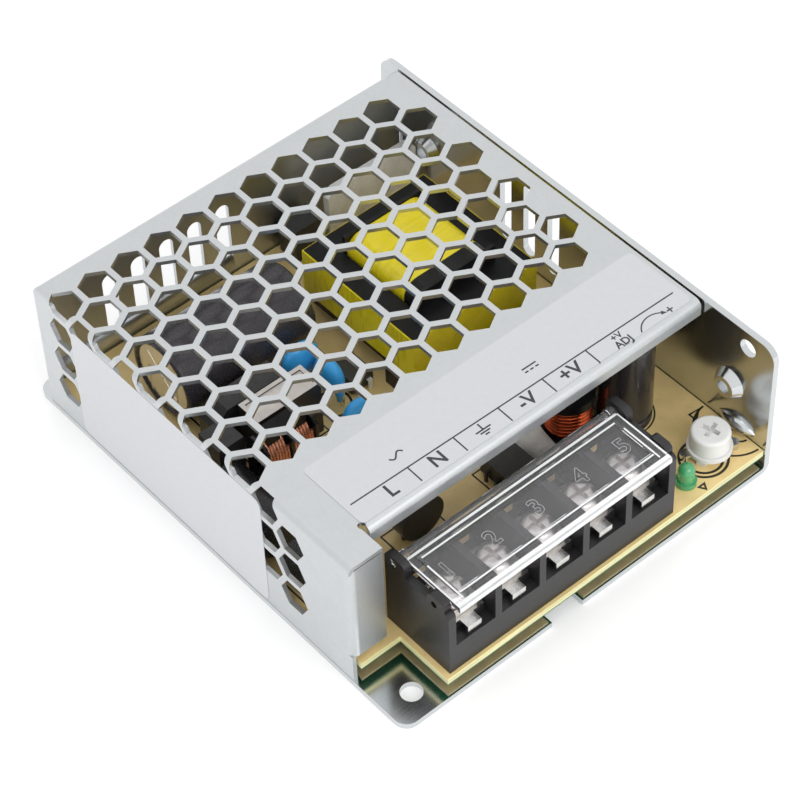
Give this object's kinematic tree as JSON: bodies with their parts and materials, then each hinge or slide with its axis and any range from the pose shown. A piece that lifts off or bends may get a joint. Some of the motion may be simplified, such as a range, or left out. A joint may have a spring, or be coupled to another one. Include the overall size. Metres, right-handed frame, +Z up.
{
  "type": "switching power supply",
  "caption": "Enclosed switching power supply: folded metal base and honeycomb-vented cover over a circuit board, with screw terminals under a hinged clear lid and a voltage trimmer.",
  "frame": {"origin": "centre of the overall box, on the plane of the base's underside", "axes": "+Z up out of the base, -Y towards the terminals, +X towards the drilled side wall"},
  "size_m": [0.082, 0.099, 0.03],
  "materials": {
    "zinc_base": "satin",
    "zinc_cover": "satin",
    "label": "satin",
    "film": "satin",
    "board": "matte",
    "bright_metal": "bright",
    "clamp_metal": "bright",
    "black_plastic": "satin",
    "clear_plastic": "clear",
    "white_plastic": "satin",
    "green_light": "gloss",
    "can_sleeve": "gloss",
    "ferrite": "matte",
    "yellow_tape": "gloss",
    "copper_wire": "gloss",
    "grey_epoxy": "satin",
    "black_epoxy": "satin",
    "blue_epoxy": "gloss",
    "silicone": "satin"
  },
  "bodies": {
    "chassis": {"base_chassis": "zinc_base", "top_cover": "zinc_cover", "top_label": "label", "side_label": "label", "insulating_film": "film", "circuit_board": "board", "board_supports": "bright_metal", "terminal_contacts": "bright_metal", "trimmer_terminals": "bright_metal", "bulk_capacitor_leads": "bright_metal", "disc_capacitor_leads": "bright_metal", "heat_plate": "bright_metal", "terminal_housing": "black_plastic", "transformer_bobbin": "black_plastic", "choke_base": "black_plastic", "trimmer_base": "white_plastic", "led": "green_light", "bulk_capacitor": "can_sleeve", "output_capacitors": "can_sleeve", "transformer_core": "ferrite", "choke_core": "ferrite", "drum_core": "ferrite", "transformer_winding": "yellow_tape", "transformer_tape": "yellow_tape", "choke_windings": "copper_wire", "drum_winding": "copper_wire", "filter_capacitor": "grey_epoxy", "film_capacitor": "black_epoxy", "fuse": "black_epoxy", "bridge_rectifier": "black_epoxy", "thermistor": "black_epoxy", "line_inductor": "black_epoxy", "optocoupler": "black_epoxy", "transistor": "black_epoxy", "disc_capacitors": "blue_epoxy", "silicone_beads": "silicone"},
    "lid": {"terminal_lid": "clear_plastic"},
    "knob": {"trimmer_knob": "white_plastic"},
    "clamp_1": {"clamp_washer_1": "clamp_metal"},
    "screw_1": {"terminal_screw_1": "clamp_metal"},
    "clamp_2": {"clamp_washer_2": "clamp_metal"},
    "screw_2": {"terminal_screw_2": "clamp_metal"},
    "clamp_3": {"clamp_washer_3": "clamp_metal"},
    "screw_3": {"terminal_screw_3": "clamp_metal"},
    "clamp_4": {"clamp_washer_4": "clamp_metal"},
    "screw_4": {"terminal_screw_4": "clamp_metal"},
    "clamp_5": {"clamp_washer_5": "clamp_metal"},
    "screw_5": {"terminal_screw_5": "clamp_metal"}
  },
  "joints": [
    {"name": "lid_hinge", "type": "hinge", "parent": "chassis", "child": "lid", "pos_m": [-0.00585, -0.0352, 0.0213], "axis": [-1, 0, 0], "range_deg": [0, 95]},
    {"name": "trimmer_turn", "type": "hinge", "parent": "chassis", "child": "knob", "pos_m": [0.03257, -0.0433, 0.0081], "axis": [0, 0, 1], "range_deg": [-135, 135]},
    {"name": "clamp_lift_1", "type": "slide", "parent": "chassis", "child": "clamp_1", "axis": [0, 0, 1], "range_m": [0, 0.002]},
    {"name": "screw_turn_1", "type": "hinge", "parent": "clamp_1", "child": "screw_1", "pos_m": [-0.02485, -0.042, 0.0131], "axis": [0, 0, 1], "range_deg": [0, 1201]},
    {"name": "clamp_lift_2", "type": "slide", "parent": "chassis", "child": "clamp_2", "axis": [0, 0, 1], "range_m": [0, 0.002]},
    {"name": "screw_turn_2", "type": "hinge", "parent": "clamp_2", "child": "screw_2", "pos_m": [-0.01535, -0.042, 0.0131], "axis": [0, 0, 1], "range_deg": [0, 1201]},
    {"name": "clamp_lift_3", "type": "slide", "parent": "chassis", "child": "clamp_3", "axis": [0, 0, 1], "range_m": [0, 0.002]},
    {"name": "screw_turn_3", "type": "hinge", "parent": "clamp_3", "child": "screw_3", "pos_m": [-0.00585, -0.042, 0.0131], "axis": [0, 0, 1], "range_deg": [0, 1201]},
    {"name": "clamp_lift_4", "type": "slide", "parent": "chassis", "child": "clamp_4", "axis": [0, 0, 1], "range_m": [0, 0.002]},
    {"name": "screw_turn_4", "type": "hinge", "parent": "clamp_4", "child": "screw_4", "pos_m": [0.00365, -0.042, 0.0131], "axis": [0, 0, 1], "range_deg": [0, 1201]},
    {"name": "clamp_lift_5", "type": "slide", "parent": "chassis", "child": "clamp_5", "axis": [0, 0, 1], "range_m": [0, 0.002]},
    {"name": "screw_turn_5", "type": "hinge", "parent": "clamp_5", "child": "screw_5", "pos_m": [0.01315, -0.042, 0.0131], "axis": [0, 0, 1], "range_deg": [0, 1201]}
  ],
  "couplings": [
    {"joint": "screw_turn_1", "follows": "clamp_lift_1", "rad_per_m": 10472},
    {"joint": "screw_turn_2", "follows": "clamp_lift_2", "rad_per_m": 10472},
    {"joint": "screw_turn_3", "follows": "clamp_lift_3", "rad_per_m": 10472},
    {"joint": "screw_turn_4", "follows": "clamp_lift_4", "rad_per_m": 10472},
    {"joint": "screw_turn_5", "follows": "clamp_lift_5", "rad_per_m": 10472}
  ]
}
